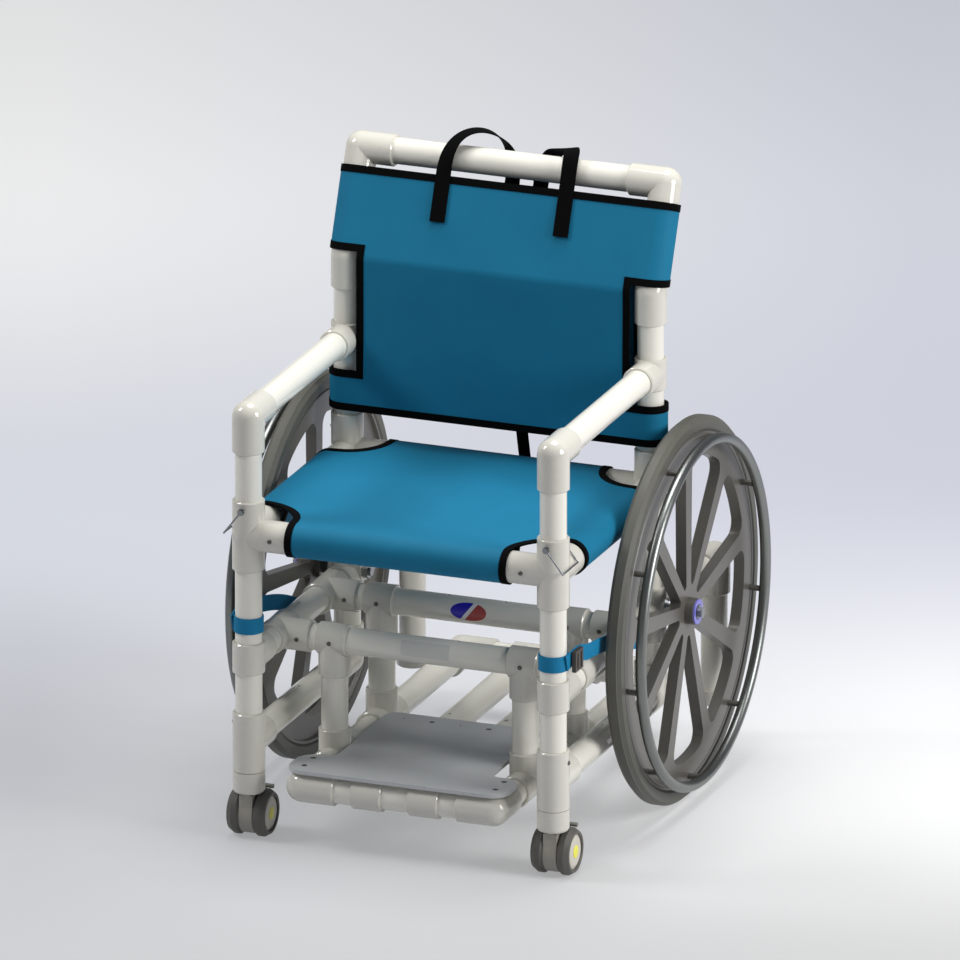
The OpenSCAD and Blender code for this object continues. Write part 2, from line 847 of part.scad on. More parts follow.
// Brake pedal: two cheeks beside the ear, a pin through it and a bar over both wheels
module caster_pedal() {
    cheek_in = ear_half + cheek_gap;
    cheek_out = caster_body_w / 2 - cheek_gap;
    arm = pedal_bar - pedal_pivot;
    color("#77766f") {
        for (s = sides)
            scale([s, 1, 1]) translate([(cheek_in + cheek_out) / 2, 0, 0])
                across((cheek_out - cheek_in) / 2) {
                    translate(pedal_pivot) circle(r = 5);
                    translate(pedal_pivot) rotate(atan2(arm[1], arm[0]))
                        translate([0, -2.5]) square([norm(arm), 5]);
                }
        rod_across(pedal_pivot, 2 * cheek_out, pedal_pin_r);
        rod_across(pedal_bar, 2 * pedal_half, pedal_r);
    }
}

// Footrest that slides as one piece
module foot_rails() {
    color("#f2efe8") both_sides()
        for (x = [rail_x, mid_x])
            difference() {
                span([x, foot_ys[0], foot_h], [x, foot_ys[1], foot_h], stop_in, stop_in);
                drain([x, (foot_ys[0] + foot_ys[1]) / 2, foot_h]);
                for (y = (x == mid_x ? [rear_screw_y] : front_screw_ys))
                    translate([x, y, foot_h]) cylinder(h = pipe_od, r = shank_r + socket_gap);
            }
}

module foot_bars() {
    color("#f2efe8")
        for (y = foot_ys)
            span([-rail_x, y, foot_h], [rail_x, y, foot_h], stop_in, stop_in);
}

module foot_elbows() {
    color("#dedacf") both_sides()
        difference() {
            union() {
                elbow([rail_x, foot_ys[0], foot_h], [-1, 0, 0], back);
                elbow([rail_x, foot_ys[1], foot_h], [-1, 0, 0], fore);
            }
            for (y = front_screw_ys)
                translate([rail_x, y, foot_h]) cylinder(h = pipe_od, r = shank_r + socket_gap);
        }
}

module foot_tees() {
    color("#dedacf") both_sides() {
        through_tee([mid_x, foot_ys[0], foot_h], [1, 0, 0], short_run, back, leg);
        through_tee([mid_x, foot_ys[1], foot_h], [1, 0, 0], short_run, fore, leg);
    }
}

module rounded(low, high, r) {
    translate([low[0] + r, low[1]]) square([high[0] - low[0] - 2 * r, high[1] - low[1]]);
    translate([low[0], low[1] + r]) square([high[0] - low[0], high[1] - low[1] - 2 * r]);
    for (x = [low[0] + r, high[0] - r])
        for (y = [low[1] + r, high[1] - r])
            translate([x, y]) circle(r = r);
}

module plate_outline() {
    rounded([-plate_half, plate_ys[0]], [plate_half, plate_ys[1]], plate_corner);
    rounded([-neck_half, front_y], [neck_half, plate_ys[2]], neck_corner);
    for (s = sides)
        difference() {
            translate([s > 0 ? neck_half - 1 : -neck_half - fillet_r, plate_ys[1] - 1])
                square([fillet_r + 1, fillet_r + 1]);
            translate([s * (neck_half + fillet_r), plate_ys[1] + fillet_r]) circle(r = fillet_r);
        }
}

module screw_places() {
    both_sides() {
        for (y = front_screw_ys) translate([rail_x, y, 0]) children();
        translate([mid_x, rear_screw_y, 0]) children();
    }
}

module footplate() {
    color("#9b9c99")
        difference() {
            translate([0, 0, plate_z]) linear_extrude(plate_t) plate_outline();
            screw_places() cylinder_from(plate_z - 1, plate_z + plate_t + 1, shank_r + socket_gap);
            screw_places()
                cylinder_from(plate_z + plate_t - 2, plate_z + plate_t + 1, plate_screw_d / 2 + socket_gap);
            for (x = [-2 * mid_x, 0, 2 * mid_x])
                translate([x, rear_screw_y, 0]) cylinder_from(plate_z - 1, plate_z + plate_t + 1, 1.6);
        }
}

module plate_screws() {
    color("#55565a") {
        screw_places() {
            cylinder_from(plate_z - 7, plate_z + plate_t - 1.9, shank_r);
            cylinder_from(plate_z + plate_t - 2, plate_z + plate_t - 0.2, plate_screw_d / 2);
        }
        both_sides()
            translate([mid_x, rear_screw_y, 0])
                difference() {
                    cylinder_from(foot_h + pipe_r, plate_z, spacer_r);
                    cylinder_from(foot_h, plate_z + 1, shank_r - eps);
                }
    }
}

// Cloth outline round two rails that lie "far" apart, closed below only by the rails' sleeves
module sleeve_pair(far) {
    difference() {
        union() {
            circle(r = sleeve_r);
            translate([far, 0]) circle(r = sleeve_r);
            translate([0, sleeve_in - 0.05]) square([far, cloth_t]);
        }
        circle(r = sleeve_in);
        translate([far, 0]) circle(r = sleeve_in);
    }
}

module seat_sling() {
    color("#1b7fa8")
        difference() {
            union() {
                translate([0, front_y, seat_h])
                    across(post_x - cutout_r / 2) sleeve_pair(post_depth);
                translate([-post_x, back_y - cutout_r / 2, seat_h])
                    rotate([90, 0, 0]) linear_extrude(post_depth - cutout_r) sleeve_pair(post_span);
            }
            for (y = post_ys) both_sides()
                translate([post_x, y, seat_h - 2 * sleeve_r]) cylinder(h = 4 * sleeve_r, r = cutout_r);
        }
}

// One layer of the back panel in Y and Z, between the low band and the reclined one
module back_layer(out_a, out_b) {
    half = tan(recline / 2);
    rise_from = sleeve_r * tan(recline) + seam;
    function low(o) = [back_y - o, notch_low - seam];
    function mid(o) = [back_y - o, bend_z + o * half];
    function top(o) = [back_y, bend_z] + rise_from * [sin(recline), cos(recline)]
        + o * [-cos(recline), sin(recline)];
    polygon([low(out_a), mid(out_a), top(out_a), top(out_b), mid(out_b), low(out_b)]);
}

module round_ended(r) {
    translate([-post_x, -r]) square([post_span, 2 * r]);
    for (s = sides) translate([s * post_x, 0]) circle(r = r);
}

// A band of the back sling, closed round both posts
module back_band_ring(low, high) {
    translate([0, 0, low])
        linear_extrude(high - low)
            difference() {
                round_ended(sleeve_r);
                round_ended(sleeve_in);
            }
}

module back_sling() {
    color("#135e82") {
        translate([0, back_y, 0]) back_band_ring(sling_z, notch_low);
        across(post_x - notch_in) {
            back_layer(sleeve_r - thin, sleeve_in + thin);
            back_layer(-sleeve_in - thin, thin - sleeve_r);
        }
        translate([0, back_y, bend_z])
            rotate([-recline, 0, 0]) back_band_ring(sleeve_r * tan(recline), back_top);
    }
}

// A flat band swept through points; each point has its own direction across the band
module ribbon(points, widths, normals, w, t) {
    n = len(points);
    corners = [for (i = [0 : n - 1], k = [[-1, -1], [1, -1], [1, 1], [-1, 1]])
        points[i] + k[0] * w / 2 * widths[i] + k[1] * t / 2 * normals[i]];
    walls = [for (i = [0 : n - 2], k = [0 : 3]) each [
        [4 * i + k, 4 * i + 4 + (k + 1) % 4, 4 * i + (k + 1) % 4],
        [4 * i + k, 4 * i + 4 + k, 4 * i + 4 + (k + 1) % 4]]];
    ends = [[0, 1, 2], [0, 2, 3], [4 * n - 4, 4 * n - 2, 4 * n - 3], [4 * n - 4, 4 * n - 1, 4 * n - 2]];
    polyhedron(corners, concat(walls, ends));
}

function unit(v) = v / norm(v);
// From the sling's own axes (across, out in front, along the recline) to the chair's
function on_back(p) = [p[0], back_y - p[1] * cos(recline) + p[2] * sin(recline),
    bend_z + p[1] * sin(recline) + p[2] * cos(recline)];

// A carry handle: up the front of the sling, over the push bar and down its back
module handle(side, inner, rise, twist, late) {
    out = sleeve_r + lay + webbing_t / 2;
    steps = 24;
    front = [for (part = [1, 0.5]) [side * handle_out, out, back_top - handle_sewn * part]];
    arch = [for (i = [0 : steps]) let (u = i / steps, a = 180 * u, m = pow((1 - cos(a)) / 2 + 1e-9, late))
        [side * (handle_out + (inner - handle_out) * m), (out + handle_swell * sin(a)) * cos(a),
            back_top - 4 + rise * pow(sin(a) + 1e-9, 0.75 / late)]];
    rear = [for (part = [0.6, 1]) [side * inner, -out, back_top - handle_sewn_rear * part]];
    path = concat(front, arch, rear);
    n = len(path);
    places = [for (p = path) on_back(p)];
    across_dir = [for (i = [0 : n - 1]) let (u = min(max((i - 2) / steps, 0), 1), a = twist * sin(180 * u))
        on_back([side * cos(a), -sin(a), 0]) - on_back([0, 0, 0])];
    ahead = [for (i = [0 : n - 1]) unit(places[min(i + 1, n - 1)] - places[max(i - 1, 0)])];
    widths = [for (i = [0 : n - 1]) unit(across_dir[i] - (across_dir[i] * ahead[i]) * ahead[i])];
    ribbon(places, widths, [for (i = [0 : n - 1]) cross(ahead[i], widths[i])], webbing_w, webbing_t);
}

// The loose end of the back lacing, behind the seat's rear rail
module lacing_tail() {
    y = back_y + sleeve_r + lay + webbing_t / 2;
    drop = [for (i = [0 : 6]) [28 + i * 1.5, y + 0.5, sling_z + 18 - i * (sling_z - seat_h + 28) / 6]];
    turn = [for (i = [0 : 6]) [1, 0, 0]];
    ribbon(drop, turn, [for (i = [0 : 6]) [0, -1, 0]], webbing_w * 0.75, webbing_t);
}

module back_straps() {
    color("#151515") {
        handle(-1, handle_in_left, handle_rise_left, handle_twist_left, 1);
        handle(1, handle_in_right, handle_rise_right, handle_twist_right, 1.4);
        lacing_tail();
    }
}

// The loose end of a post strap: it lies on the band, then hangs back outside the frame
module strap_tail(side) {
    drop = side < 0 ? tail_drop_left : tail_drop;
    lie = strap_in + 1.5 * webbing_t + lay;
    steps = 12;
    points = [for (i = [0 : steps]) let (u = i / steps, bow = sin(min(1, 3 * u) * 90))
        [side * (post_x + lie + tail_bow * bow), front_y - tail_start + (tail_len + tail_start) * u,
            strap_z + tail_rise * sin(min(1, 4 * u) * 180) - drop * u * u]];
    ahead = [for (i = [0 : steps]) unit(points[min(i + 1, steps)] - points[max(i - 1, 0)])];
    widths = [for (v = ahead) unit(cross([1, 0, 0], v))];
    ribbon(points, widths, [for (i = [0 : steps]) cross(ahead[i], widths[i])], strap_w, webbing_t);
}

// A band round each front post with its loose end
module post_straps() {
    color("#1280ae")
        for (side = sides) {
            translate([side * post_x, front_y, strap_z - strap_w / 2])
                difference() {
                    cylinder(h = strap_w, r = strap_in + webbing_t);
                    translate([0, 0, -1]) cylinder(h = strap_w + 2, r = strap_in);
                }
            strap_tail(side);
        }
}

module strap_buckle() {
    x = post_x + strap_in + 2 * webbing_t + 2 * lay + buckle_lift;
    color("#3a3330")
        translate([x, front_y + 4, strap_z])
            difference() {
                translate([0, 0, -strap_w / 2 - 4]) cube([buckle_t, 32, strap_w + 8]);
                for (y = [7, 21])
                    translate([buckle_t / 2, y, -strap_w / 2]) cube([buckle_t, 4, strap_w]);
            }
}

// Straight lock pins with a head at each end; the bails turn on them
module lock_pins() {
    end = bail_y + 3;
    color("#8a8c8e") both_sides()
        translate([post_x, front_y, pin_z])
            rotate([90, 0, 0]) {
                cylinder(h = 2 * end, r = pin_r, center = true);
                for (s = sides)
                    translate([0, 0, s * end]) cylinder(h = 2, r = pin_r + 1.5, center = true);
            }
}

// Wire bail that hangs out over the seat corner's rear leg
module bail(side) {
    eye_gap = 0.05;
    color("#77797b")
        translate([side * post_x, front_y, pin_z])
            rotate([0, -side * bail_turn, 0]) {
                for (s = sides) {
                    translate([0, s * bail_y, 0]) rotate([90, 0, 0])
                        difference() {
                            cylinder(h = 2 * wire_r + 0.8, r = pin_r + 2.4, center = true);
                            cylinder(h = 4 * wire_r, r = pin_r + eye_gap, center = true);
                        }
                    translate([0, s * bail_y, -bail_reach]) cylinder(h = bail_reach - pin_r - 1, r = wire_r);
                    translate([0, s * bail_y, -bail_reach]) sphere(r = wire_r + 0.3, $fn = 24);
                }
                translate([0, 0, -bail_reach]) rotate([90, 0, 0])
                    cylinder(h = 2 * bail_y, r = wire_r - 0.05, center = true);
            }
}

front_post_pipes();
rear_post_pipes();
arm_pipes();
seat_rails();
mid_rails();
low_rails();
cross_bars();
hanger_pipes();
tip_pipes();
push_bar();
arm_elbows();
short_tees();
seat_corners();
rail_tees();
slip_tees();
axle_crosses();
low_tees();
rail_elbows();
tip_caps();
bend_elbows();
push_elbows();
caster_cups();
frame_screws();
axle_sleeves();
axle_bolts();
at_wheel(-1) tyre_ring();  // wheel_left_tyre
at_wheel(-1) rim_ring();  // wheel_left_rim
at_wheel(-1) spoke_star();  // wheel_left_spokes
at_wheel(-1) push_ring();  // wheel_left_pushrim
at_wheel(-1) hub_ring();  // wheel_left_cap
at_wheel(-1) bearing_pair();  // wheel_left_bearings
at_wheel(1) tyre_ring();  // wheel_right_tyre
at_wheel(1) rim_ring();  // wheel_right_rim
at_wheel(1) spoke_star();  // wheel_right_spokes
at_wheel(1) push_ring();  // wheel_right_pushrim
at_wheel(1) hub_ring();  // wheel_right_cap
at_wheel(1) bearing_pair();  // wheel_right_bearings
at_caster(-1) caster_body();  // caster_left_body
at_caster(-1) caster_tyres();  // caster_left_tyres
at_caster(-1) caster_discs();  // caster_left_discs
at_caster(-1) caster_pedal();  // caster_left_pedal
at_caster(1) caster_body();  // caster_right_body
at_caster(1) caster_tyres();  // caster_right_tyres
at_caster(1) caster_discs();  // caster_right_discs
at_caster(1) caster_pedal();  // caster_right_pedal
foot_rails();
foot_bars();
foot_elbows();
foot_tees();
footplate();
plate_screws();
seat_sling();
back_sling();
back_straps();
post_straps();
strap_buckle();
lock_pins();
bail(-1);  // lock_bail_left
bail(1);  // lock_bail_right
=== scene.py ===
import json
import math

import bpy
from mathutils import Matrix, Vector


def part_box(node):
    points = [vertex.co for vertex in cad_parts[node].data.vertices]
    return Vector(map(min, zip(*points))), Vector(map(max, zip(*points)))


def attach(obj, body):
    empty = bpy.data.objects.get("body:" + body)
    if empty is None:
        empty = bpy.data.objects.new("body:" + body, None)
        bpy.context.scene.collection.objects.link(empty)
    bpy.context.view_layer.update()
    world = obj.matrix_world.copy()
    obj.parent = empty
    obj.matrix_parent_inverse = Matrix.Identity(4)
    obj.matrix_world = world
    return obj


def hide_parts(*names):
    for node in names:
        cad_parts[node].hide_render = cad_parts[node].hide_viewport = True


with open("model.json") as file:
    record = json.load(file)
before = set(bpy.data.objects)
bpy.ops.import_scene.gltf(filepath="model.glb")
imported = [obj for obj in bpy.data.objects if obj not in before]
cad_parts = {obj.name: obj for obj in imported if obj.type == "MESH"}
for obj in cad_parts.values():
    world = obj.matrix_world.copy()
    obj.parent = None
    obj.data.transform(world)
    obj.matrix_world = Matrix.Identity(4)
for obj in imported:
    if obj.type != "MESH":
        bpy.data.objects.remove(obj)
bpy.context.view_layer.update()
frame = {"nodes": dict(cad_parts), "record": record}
bpy.ops.object.select_all(action="DESELECT")
print("frame loaded,", len(frame["nodes"]), "nodes")

# places that several pieces share, in metres; the floor is z = 0 and -Y is forward
chair = {
    "postX": 0.2515,
    "frontY": -0.3445,
    "backY": 0.0755,
    "seatZ": 0.495,
    "bendZ": 0.817,
    "recline": math.radians(22.5),
    "pipeR": 0.0211,
}


# materials
def hexToLinear(code):
    parts = [int(code[i : i + 2], 16) / 255 for i in (1, 3, 5)]
    return [p / 12.92 if p <= 0.04045 else ((p + 0.055) / 1.055) ** 2.4 for p in parts] + [1.0]


def addNode(tree, kind, settings, *links, into=None):
    # settings go to sockets or to the node itself; into is the socket that its first output feeds
    node = tree.nodes.new(kind)
    for key, value in settings.items():
        if key in node.inputs:
            node.inputs[key].default_value = value
        else:
            setattr(node, key, value)
    for source, target in links:
        tree.links.new(source, node.inputs[target])
    if into is not None:
        tree.links.new(node.outputs[0], into)
    return node


def newMaterial(name, color, roughness, **more):
    material = bpy.data.materials.new(name)
    material.use_nodes = True
    shader = material.node_tree.nodes["Principled BSDF"]
    shader.inputs["Base Color"].default_value = hexToLinear(color)
    shader.inputs["Roughness"].default_value = roughness
    for key, value in more.items():
        shader.inputs[key.replace("_", " ")].default_value = value
    material.diffuse_color = hexToLinear(color)
    return material, material.node_tree, shader


# a Mix node set to colour has its two colours in sockets 6 and 7, and its result in output 2
mixA, mixB, mixOut = 6, 7, 2
cloudDetail = 3


def tintByNoise(tree, shader, color, shade, perMetre):
    place = addNode(tree, "ShaderNodeTexCoord", {})
    noise = addNode(
        tree, "ShaderNodeTexNoise", {"Scale": perMetre, "Detail": cloudDetail},
        (place.outputs["Object"], "Vector"),
    )
    tint = addNode(tree, "ShaderNodeMix", {"data_type": "RGBA"}, (noise.outputs["Fac"], "Factor"))
    tint.inputs[mixA].default_value = hexToLinear(color)
    tint.inputs[mixB].default_value = hexToLinear(shade)
    tree.links.new(tint.outputs[mixOut], shader.inputs["Base Color"])
    return place, noise


# glossy PVC: the clouds of its second colour are also its waviness
def pvcMaterial(name, look):
    material, tree, shader = newMaterial(name, look["color"], look["roughness"], IOR=1.53)
    noise = tintByNoise(tree, shader, look["color"], look["shade"], look["perMetre"])[1]
    addNode(
        tree, "ShaderNodeBump", {"Strength": look["bump"], "Distance": look["depth"]},
        (noise.outputs["Fac"], "Height"), into=shader.inputs["Normal"],
    )
    return material


# a surface with faint clouds of a second colour and a fine grain, both per metre on the object; a
# real grain is finer than the render shows, so it is drawn at 700 to 1400 per metre
def grainedMaterial(name, color, shade, roughness, clouds, grain, bump, depth=0.0003, detail=1, **more):
    material, tree, shader = newMaterial(name, color, roughness, **more)
    place = tintByNoise(tree, shader, color, shade, clouds)[0]
    skin = addNode(
        tree, "ShaderNodeTexNoise", {"Scale": grain, "Detail": detail},
        (place.outputs["Object"], "Vector"),
    )
    addNode(
        tree, "ShaderNodeBump", {"Strength": bump, "Distance": depth},
        (skin.outputs["Fac"], "Height"), into=shader.inputs["Normal"],
    )
    return material


# extruded PVC pipe: smooth and glossy, with the faintest waviness along it
pipeLook = {
    "color": "#ebe8dd",
    "shade": "#e5e2d6",
    "roughness": 0.09,
    "perMetre": 9,
    "bump": 0.06,
    "depth": 0.002,
}
pvcPipe = pvcMaterial("extruded PVC pipe", pipeLook)

# moulded PVC fittings: a little warmer and darker than the pipe, with a soft moulded skin
fittingLook = {
    "color": "#d6d3c8",
    "shade": "#d0cdc2",
    "roughness": 0.08,
    "perMetre": 160,
    "bump": 0.04,
    "depth": 0.0004,
}
pvcFitting = pvcMaterial("moulded PVC fitting", fittingLook)

# cold-headed and turned steel: grey, with fine tool marks that soften what it mirrors
screwSteel = grainedMaterial(
    "dull stainless screw", "#716f6b", "#6a6965",
    roughness=0.38, clouds=150, grain=1400, bump=0.08, depth=0.0001, Metallic=1.0,
)
turnedSteel = grainedMaterial(
    "turned stainless steel", "#8f9295", "#888b8e",
    roughness=0.3, clouds=120, grain=1400, bump=0.06, depth=0.0001, Metallic=1.0,
)

# polyurethane tyre: even grey, dull, with a fine moulded grain
tyreRubber = grainedMaterial(
    "moulded polyurethane tyre", "#5a5951", "#53524b",
    roughness=0.5, clouds=40, grain=900, bump=0.15, IOR=1.5,
)

# glass-filled nylon wheel: taupe, satin, slightly cloudy
wheelNylon = grainedMaterial(
    "glass-filled nylon", "#5e5b55", "#57544e",
    roughness=0.34, clouds=25, grain=700, bump=0.08, detail=2, IOR=1.53,
)

# satin aluminium tube of the push rim: the tumbled finish blurs what it mirrors
rimMetal = grainedMaterial(
    "satin aluminium tube", "#828583", "#7b7e7c",
    roughness=0.34, clouds=45, grain=1100, bump=0.05, depth=0.0001, Metallic=1.0,
)

# small mouldings: glossy where the tool was polished, duller and grained where it was etched
hubPlastic = grainedMaterial(
    "glossy acetal cap", "#7a77cc", "#7471c6",
    roughness=0.25, clouds=90, grain=1200, bump=0.04, depth=0.0001, IOR=1.48,
)
casterRubber = grainedMaterial(
    "soft caster rubber", "#5d5b55", "#57554f",
    roughness=0.5, clouds=80, grain=1200, bump=0.15, IOR=1.5,
)
discPlastic = grainedMaterial(
    "glossy ABS disc", "#d1ccbe", "#ccc7b9",
    roughness=0.28, clouds=70, grain=1200, bump=0.04, depth=0.0001, IOR=1.53,
)
casterNylon = grainedMaterial(
    "moulded nylon caster body", "#a49f93", "#9e998d",
    roughness=0.38, clouds=70, grain=1100, bump=0.1, depth=0.0002, IOR=1.53,
)
pedalNylon = grainedMaterial(
    "moulded nylon pedal", "#86857d", "#807f77",
    roughness=0.4, clouds=90, grain=1100, bump=0.1, depth=0.0002, IOR=1.53,
)
buckleAcetal = grainedMaterial(
    "moulded acetal buckle", "#423c37", "#3c3631",
    roughness=0.32, clouds=90, grain=1100, bump=0.08, depth=0.0002, IOR=1.48,
)
capYellow = grainedMaterial(
    "yellow ABS cap", "#f4ee4d", "#f0ea46",
    roughness=0.3, clouds=150, grain=1200, bump=0.04, depth=0.0001, IOR=1.53,
)

# sheet polypropylene footplate: grey, satin, finely grained
plateSheet = grainedMaterial(
    "grained polypropylene sheet", "#bec0c0", "#b7b9b9",
    roughness=0.36, clouds=12, grain=1200, bump=0.12, IOR=1.49,
)

# bare vinyl film: pale and half matt
labelFilm = grainedMaterial(
    "plain vinyl film", "#d5d4ce", "#d0cfc9",
    roughness=0.45, clouds=60, grain=1000, bump=0.05, depth=0.0001, IOR=1.53,
)

# printed vinyl film of the badge: three glossy colours parted by slanted edges
badgePrint = {
    "colors": ("#2a20b8", "#e8e4e2", "#b04a44"),
    "edges": (0.44, 0.56),  # where the colours change, as shares of the way from "from" to "to"
    "slant": math.radians(-38),
    "from": -0.214,
    "to": -0.164,
    "roughness": 0.3,
    "grain": 1000,
    "bump": 0.05,
    "depth": 0.0001,
}
badgeFilm, tree, shader = newMaterial(
    "printed vinyl film", "#ffffff", badgePrint["roughness"], IOR=1.53
)
place = addNode(tree, "ShaderNodeTexCoord", {})
slant = addNode(
    tree, "ShaderNodeMapping", {"Rotation": (0, badgePrint["slant"], 0)},
    (place.outputs["Object"], "Vector"),
)
split = addNode(tree, "ShaderNodeSeparateXYZ", {}, (slant.outputs[0], "Vector"))
level = addNode(
    tree, "ShaderNodeMapRange", {"From Min": badgePrint["from"], "From Max": badgePrint["to"]},
    (split.outputs["X"], "Value"),
)
bands = addNode(
    tree, "ShaderNodeValToRGB", {}, (level.outputs[0], "Fac"), into=shader.inputs["Base Color"]
)
bands.color_ramp.interpolation = "CONSTANT"
bands.color_ramp.elements[0].color = hexToLinear(badgePrint["colors"][0])
bands.color_ramp.elements[1].position = badgePrint["edges"][1]
bands.color_ramp.elements[1].color = hexToLinear(badgePrint["colors"][2])
bands.color_ramp.elements.new(badgePrint["edges"][0]).color = hexToLinear(badgePrint["colors"][1])
skin = addNode(
    tree, "ShaderNodeTexNoise", {"Scale": badgePrint["grain"], "Detail": 1},
    (place.outputs["Object"], "Vector"),
)
addNode(
    tree, "ShaderNodeBump", {"Strength": badgePrint["bump"], "Distance": badgePrint["depth"]},
    (skin.outputs["Fac"], "Height"), into=shader.inputs["Normal"],
)


# a woven cloth on a piece's own UV map, which is in metres; pitch is the thread spacing in metres,
# and the threads are drawn coarser than real ones so they show
weave = {"blotches": 14, "threadShare": 0.35, "depth": 0.0004}


def wovenMaterial(name, color, shade, roughness, pitch, bump, **more):
    material, tree, shader = newMaterial(name, color, roughness, **more)
    uv = addNode(tree, "ShaderNodeUVMap", {})
    split = addNode(tree, "ShaderNodeSeparateXYZ", {}, (uv.outputs["UV"], "Vector"))
    waves = []
    for axis in ("X", "Y"):
        turns = addNode(tree, "ShaderNodeMath", {"operation": "MULTIPLY"}, (split.outputs[axis], 0))
        turns.inputs[1].default_value = 2 * math.pi / pitch
        waves.append(addNode(tree, "ShaderNodeMath", {"operation": "SINE"}, (turns.outputs[0], 0)))
    crossing = addNode(
        tree, "ShaderNodeMath", {"operation": "MULTIPLY"},
        (waves[0].outputs[0], 0), (waves[1].outputs[0], 1),
    )
    level = addNode(
        tree, "ShaderNodeMapRange", {"From Min": -1.0, "From Max": 1.0}, (crossing.outputs[0], "Value")
    )
    blotch = addNode(
        tree, "ShaderNodeTexNoise", {"Scale": weave["blotches"], "Detail": cloudDetail},
        (uv.outputs["UV"], "Vector"),
    )
    mean = addNode(
        tree, "ShaderNodeMath", {"operation": "MULTIPLY_ADD"},
        (level.outputs[0], 0), (blotch.outputs["Fac"], 2),
    )
    mean.inputs[1].default_value = weave["threadShare"]
    # painted shade: the hollows between the threads, where the bump is low, take the darker colour, and
    # random blotches vary it too
    tint = addNode(tree, "ShaderNodeMix", {"data_type": "RGBA"}, (mean.outputs[0], "Factor"))
    tint.inputs[mixA].default_value = hexToLinear(shade)
    tint.inputs[mixB].default_value = hexToLinear(color)
    tree.links.new(tint.outputs[mixOut], shader.inputs["Base Color"])
    addNode(
        tree, "ShaderNodeBump", {"Strength": bump, "Distance": weave["depth"]},
        (level.outputs[0], "Height"), into=shader.inputs["Normal"],
    )
    return material


# vinyl-coated polyester mesh of the slings, 1.4 mm threads: dull, with a flat coated face
slingCloth = wovenMaterial(
    "coated polyester sling cloth", "#127295", "#0f698a",
    roughness=0.7, pitch=0.0014, bump=0.12, IOR=1.5, Specular_IOR_Level=0.2,
)
# polypropylene webbing, 1.6 mm ribs: dull, and ribbed where the light grazes it
blackWebbing = wovenMaterial(
    "black polypropylene webbing", "#030304", "#020202",
    roughness=0.85, pitch=0.0016, bump=0.3, IOR=1.49, Specular_IOR_Level=0.08,
)
blueWebbing = wovenMaterial(
    "blue polypropylene webbing", "#107ba6", "#0c6c94",
    roughness=0.7, pitch=0.0016, bump=0.3, IOR=1.49, Specular_IOR_Level=0.25,
)
# binding tape folded over the hems: finer than the webbing and as black
bindingTape = wovenMaterial(
    "black binding tape", "#030304", "#020202",
    roughness=0.85, pitch=0.0012, bump=0.2, IOR=1.49, Specular_IOR_Level=0.08,
)

slotLook = {
    "pipe_plastic": pvcPipe,
    "fitting_plastic": pvcFitting,
    "screw_steel": screwSteel,
    "plain_steel": turnedSteel,
    "tyre_rubber": tyreRubber,
    "wheel_plastic": wheelNylon,
    "pushrim_metal": rimMetal,
    "hub_plastic": hubPlastic,
    "caster_rubber": casterRubber,
    "caster_disc_plastic": discPlastic,
    "caster_plastic": casterNylon,
    "pedal_plastic": pedalNylon,
    "plate_plastic": plateSheet,
    "sling_cloth": slingCloth,
    "black_webbing": blackWebbing,
    "blue_webbing": blueWebbing,
    "buckle_plastic": buckleAcetal,
}
for part in frame["record"]["subparts"]:
    node = frame["nodes"][part["node"]]
    node.data.materials.clear()
    node.data.materials.append(slotLook[part["material_slot"]])
print("materials on the frame")


# soft pieces
weldGap = 0.00002
smoothAngle = math.radians(40)


def thicken(piece, thickness):
    # gives an open surface its wall, half to each side, and shades it
    wall = piece.modifiers.new("wall", "SOLIDIFY")
    wall.thickness = thickness
    wall.offset = 0
    bpy.ops.object.modifier_apply(modifier="wall")
    bpy.ops.object.shade_smooth_by_angle(angle=smoothAngle)


def clothGrid(name, flat, cells, place, keep, thickness, material):
    # a grid in the cloth's flat pattern, trimmed by keep and carried to its place by place
    bpy.ops.mesh.primitive_grid_add(x_subdivisions=cells[0], y_subdivisions=cells[1], size=1)
    piece = bpy.context.active_object
    piece.name = piece.data.name = name
    mesh = piece.data
    for vertex in mesh.vertices:
        vertex.co = (vertex.co.x * flat[0], vertex.co.y * flat[1], 0)
    uv = mesh.uv_layers.active.data
    for loop in mesh.loops:
        at = mesh.vertices[loop.vertex_index].co
        uv[loop.index].uv = (at.x, at.y)
    if keep:
        bpy.ops.object.mode_set(mode="EDIT")
        bpy.ops.mesh.select_all(action="DESELECT")
        bpy.ops.object.mode_set(mode="OBJECT")
        for face in mesh.polygons:
            face.select = not keep(face.center.x, face.center.y)
        bpy.ops.object.mode_set(mode="EDIT")
        bpy.ops.mesh.select_mode(type="FACE")
        bpy.ops.mesh.delete(type="FACE")
        bpy.ops.object.mode_set(mode="OBJECT")
    for vertex in mesh.vertices:
        vertex.co = place(vertex.co.x, vertex.co.y)
    bpy.ops.object.mode_set(mode="EDIT")
    bpy.ops.mesh.select_all(action="SELECT")
    bpy.ops.mesh.remove_doubles(threshold=weldGap)
    bpy.ops.object.mode_set(mode="OBJECT")
    area = sum(face.area for face in mesh.polygons)
    thicken(piece, thickness)
    piece.data.materials.append(material)
    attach(piece, "frame")
    piece.select_set(False)
    return piece, area


def pathFrames(points, closed):
    # every point's inward normal in the flat pattern, mitred at corners; inward is to the left
    count = len(points)
    normals = []
    for i in range(count):
        before = points[i - 1] if i or closed else None
        after = points[(i + 1) % count] if i < count - 1 or closed else None
        sides = []
        for a, b in ((before, points[i]), (points[i], after)):
            if a is not None and b is not None:
                step = Vector((b[0] - a[0], b[1] - a[1])).normalized()
                sides.append(Vector((-step.y, step.x)))
        if len(sides) == 1:
            normals.append(sides[0])
        else:
            normals.append((sides[0] + sides[1]) / (1 + sides[0].dot(sides[1])))
    return normals


